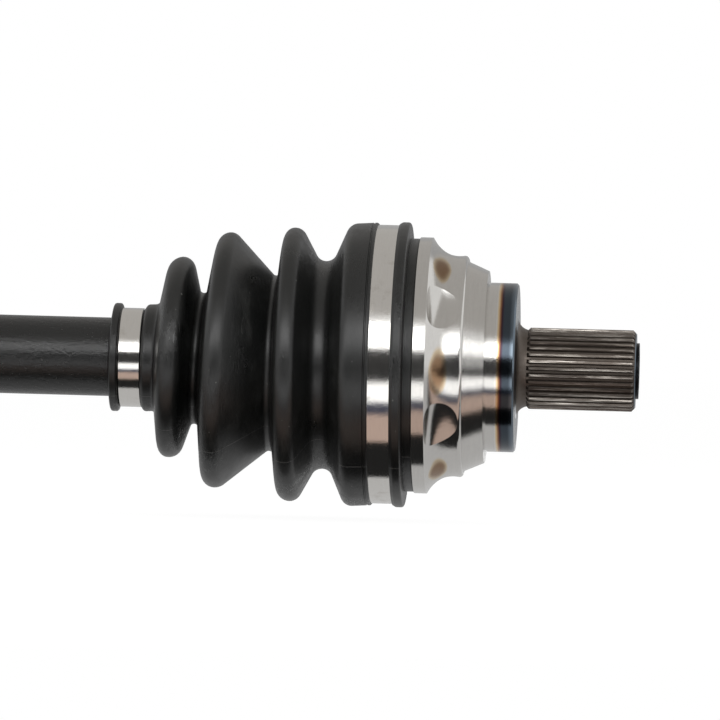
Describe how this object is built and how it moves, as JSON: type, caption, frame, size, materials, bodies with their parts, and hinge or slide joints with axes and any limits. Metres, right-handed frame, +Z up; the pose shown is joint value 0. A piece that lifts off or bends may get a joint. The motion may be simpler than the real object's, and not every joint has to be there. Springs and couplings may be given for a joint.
{
  "type": "half shaft",
  "caption": "Drive shaft for one wheel: a steel bar with a booted ball joint and splined stub at one end and a booted sliding tripod joint with a bolted flange at the other.",
  "frame": {"origin": "centre of the shoulder that the wheel hub seats on", "axes": "+X along the shaft towards the splined stub, +Z up"},
  "size_m": [0.5453, 0.108, 0.108],
  "materials": {
    "satin_black_paint": "satin black paint",
    "machined_steel": "machined and induction hardened steel",
    "bearing_steel": "ground bearing steel",
    "dark_spring_steel": "blackened spring steel",
    "stainless_band": "bright stainless strip",
    "boot_rubber": "satin black rubber",
    "thrust_plastic": "natural nylon",
    "cap_sheet_steel": "pressed zinc-plated sheet"
  },
  "bodies": {
    "bar": {"bar": "satin_black_paint", "outboard_inner_race": "bearing_steel", "outboard_circlip": "dark_spring_steel", "outboard_dished_washer": "dark_spring_steel", "outboard_thrust_ring": "thrust_plastic", "outboard_small_clamp": "stainless_band", "inboard_spider": "bearing_steel", "inboard_trunnion_rings": "dark_spring_steel", "inboard_circlip": "dark_spring_steel", "inboard_small_clamp": "stainless_band"},
    "hub_stub": {"outboard_outer_race": "machined_steel", "outboard_boot": "boot_rubber", "outboard_large_clamp": "stainless_band"},
    "ball_cage": {"outboard_cage": "bearing_steel", "outboard_ball_1": "bearing_steel", "outboard_ball_2": "bearing_steel", "outboard_ball_3": "bearing_steel", "outboard_ball_4": "bearing_steel", "outboard_ball_5": "bearing_steel", "outboard_ball_6": "bearing_steel"},
    "inboard_bellows": {"inboard_boot": "boot_rubber"},
    "gearbox_housing": {"inboard_housing": "machined_steel", "inboard_end_cap": "cap_sheet_steel", "inboard_large_clamp": "stainless_band"},
    "tripod_roller_1": {"inboard_roller_1": "bearing_steel", "inboard_needles_1": "bearing_steel"},
    "tripod_roller_2": {"inboard_roller_2": "bearing_steel", "inboard_needles_2": "bearing_steel"},
    "tripod_roller_3": {"inboard_roller_3": "bearing_steel", "inboard_needles_3": "bearing_steel"}
  },
  "joints": [
    {"name": "outboard_bend", "type": "hinge", "parent": "bar", "child": "hub_stub", "pos_m": [-0.038, 0, 0], "axis": [0, 0, 1], "range_deg": [-45, 45], "deforming": ["outboard_boot"]},
    {"name": "outboard_cage_tilt", "type": "hinge", "parent": "bar", "child": "ball_cage", "pos_m": [-0.038, 0, 0], "axis": [0, 0, 1], "range_deg": [-23, 23]},
    {"name": "inboard_bend", "type": "hinge", "parent": "bar", "child": "inboard_bellows", "pos_m": [-0.463, 0, 0], "axis": [0, 0, 1], "range_deg": [-18, 18], "deforming": ["inboard_boot"]},
    {"name": "inboard_plunge", "type": "slide", "parent": "inboard_bellows", "child": "gearbox_housing", "axis": [1, 0, 0], "range_m": [-0.012, 0.012]},
    {"name": "tripod_roller_spin_1", "type": "hinge", "parent": "bar", "child": "tripod_roller_1", "pos_m": [-0.463, 0, 0.0245], "axis": [0, 0, 1], "range_deg": [-45, 45]},
    {"name": "tripod_roller_spin_2", "type": "hinge", "parent": "bar", "child": "tripod_roller_2", "pos_m": [-0.463, -0.02122, -0.01225], "axis": [0, -0.866, -0.5], "range_deg": [-45, 45]},
    {"name": "tripod_roller_spin_3", "type": "hinge", "parent": "bar", "child": "tripod_roller_3", "pos_m": [-0.463, 0.02122, -0.01225], "axis": [0, 0.866, -0.5], "range_deg": [-45, 45]}
  ],
  "couplings": [
    {"joint": "outboard_cage_tilt", "follows": "outboard_bend", "ratio": 0.5},
    {"joint": "tripod_roller_spin_1", "follows": "inboard_plunge", "rad_per_m": 62.5},
    {"joint": "tripod_roller_spin_2", "follows": "inboard_plunge", "rad_per_m": 62.5},
    {"joint": "tripod_roller_spin_3", "follows": "inboard_plunge", "rad_per_m": 62.5}
  ]
}
